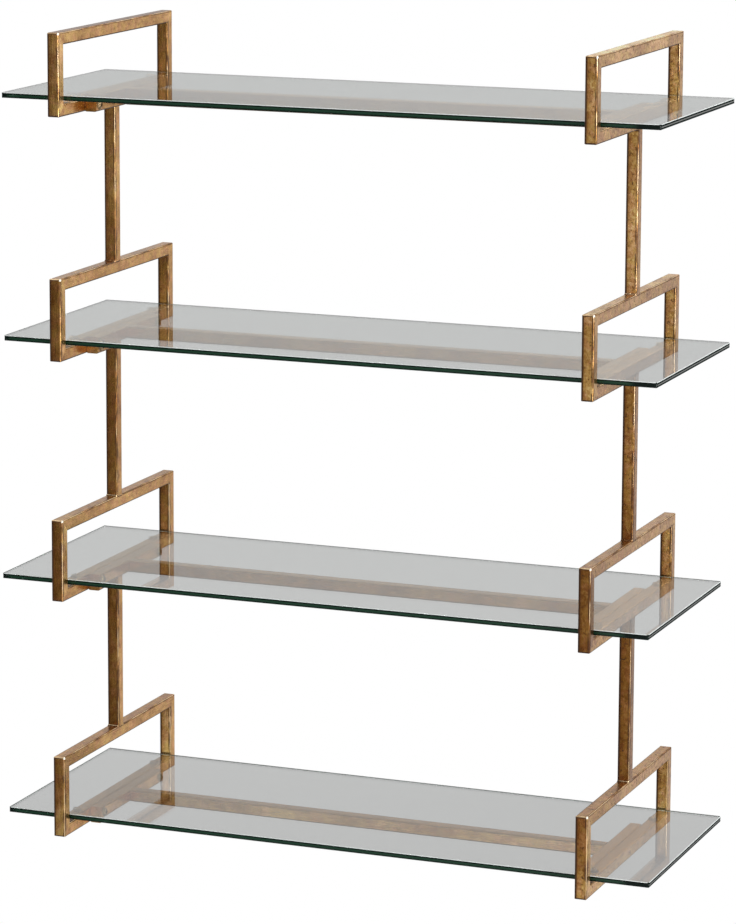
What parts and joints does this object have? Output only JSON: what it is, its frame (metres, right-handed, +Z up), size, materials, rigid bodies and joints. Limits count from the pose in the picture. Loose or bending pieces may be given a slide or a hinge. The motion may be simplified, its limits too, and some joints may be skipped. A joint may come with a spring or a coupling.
{
  "type": "wall shelf",
  "caption": "Tall open wall shelf: stacked rectangular loops of square gold-leaf tube on short posts, with loose glass panes passed endwise through each pair of loops over cross rails.",
  "frame": {"origin": "on the wall plane, at the centre of the four keyholes, which is the middle of the shelf's width over the side frames and of its height", "axes": "+X right along the shelf seen from the front, +Y back into the wall (the front faces -Y), +Z up"},
  "size_m": [0.771, 0.306, 0.914],
  "materials": {
    "gold_leaf_metal": "antiqued gold leaf over steel tube, satin, mottled brown",
    "glass": "clear tempered float glass with polished dark green edges",
    "clear_bumper": "soft clear plastic",
    "dark_bolt": "antiqued gold over steel, dark in the socket",
    "plain_steel": "plain weld nut, hidden in the tube"
  },
  "bodies": {
    "frame": {"left_loop_1_top_bar": "gold_leaf_metal", "left_loop_1_bottom_bar": "gold_leaf_metal", "left_loop_1_front_upright": "gold_leaf_metal", "left_loop_1_rear_upright": "gold_leaf_metal", "left_loop_2_top_bar": "gold_leaf_metal", "left_loop_2_bottom_bar": "gold_leaf_metal", "left_loop_2_front_upright": "gold_leaf_metal", "left_loop_2_rear_upright": "gold_leaf_metal", "left_loop_3_top_bar": "gold_leaf_metal", "left_loop_3_bottom_bar": "gold_leaf_metal", "left_loop_3_front_upright": "gold_leaf_metal", "left_loop_3_rear_upright": "gold_leaf_metal", "left_loop_4_top_bar": "gold_leaf_metal", "left_loop_4_bottom_bar": "gold_leaf_metal", "left_loop_4_front_upright": "gold_leaf_metal", "left_loop_4_rear_upright": "gold_leaf_metal", "right_loop_1_top_bar": "gold_leaf_metal", "right_loop_1_bottom_bar": "gold_leaf_metal", "right_loop_1_front_upright": "gold_leaf_metal", "right_loop_1_rear_upright": "gold_leaf_metal", "right_loop_2_top_bar": "gold_leaf_metal", "right_loop_2_bottom_bar": "gold_leaf_metal", "right_loop_2_front_upright": "gold_leaf_metal", "right_loop_2_rear_upright": "gold_leaf_metal", "right_loop_3_top_bar": "gold_leaf_metal", "right_loop_3_bottom_bar": "gold_leaf_metal", "right_loop_3_front_upright": "gold_leaf_metal", "right_loop_3_rear_upright": "gold_leaf_metal", "right_loop_4_top_bar": "gold_leaf_metal", "right_loop_4_bottom_bar": "gold_leaf_metal", "right_loop_4_front_upright": "gold_leaf_metal", "right_loop_4_rear_upright": "gold_leaf_metal", "left_post_1": "gold_leaf_metal", "left_post_2": "gold_leaf_metal", "left_post_3": "gold_leaf_metal", "right_post_1": "gold_leaf_metal", "right_post_2": "gold_leaf_metal", "right_post_3": "gold_leaf_metal", "left_end_bar_1": "gold_leaf_metal", "left_end_bar_2": "gold_leaf_metal", "left_end_bar_3": "gold_leaf_metal", "left_end_bar_4": "gold_leaf_metal", "right_end_bar_1": "gold_leaf_metal", "right_end_bar_2": "gold_leaf_metal", "right_end_bar_3": "gold_leaf_metal", "right_end_bar_4": "gold_leaf_metal", "cross_rail_1": "gold_leaf_metal", "cross_rail_2": "gold_leaf_metal", "cross_rail_3": "gold_leaf_metal", "cross_rail_4": "gold_leaf_metal", "bumpers_1": "clear_bumper", "bumpers_2": "clear_bumper", "bumpers_3": "clear_bumper", "bumpers_4": "clear_bumper", "rail_bolts": "dark_bolt", "rail_nuts": "plain_steel"},
    "pane_1": {"glass_pane_1": "glass"},
    "pane_2": {"glass_pane_2": "glass"},
    "pane_3": {"glass_pane_3": "glass"},
    "pane_4": {"glass_pane_4": "glass"}
  },
  "joints": [
    {"name": "pane_1_slide", "type": "slide", "parent": "frame", "child": "pane_1", "axis": [1, 0, 0], "range_m": [-0.71, 0.71]},
    {"name": "pane_2_slide", "type": "slide", "parent": "frame", "child": "pane_2", "axis": [1, 0, 0], "range_m": [-0.71, 0.71]},
    {"name": "pane_3_slide", "type": "slide", "parent": "frame", "child": "pane_3", "axis": [1, 0, 0], "range_m": [-0.71, 0.71]},
    {"name": "pane_4_slide", "type": "slide", "parent": "frame", "child": "pane_4", "axis": [1, 0, 0], "range_m": [-0.71, 0.71]}
  ]
}
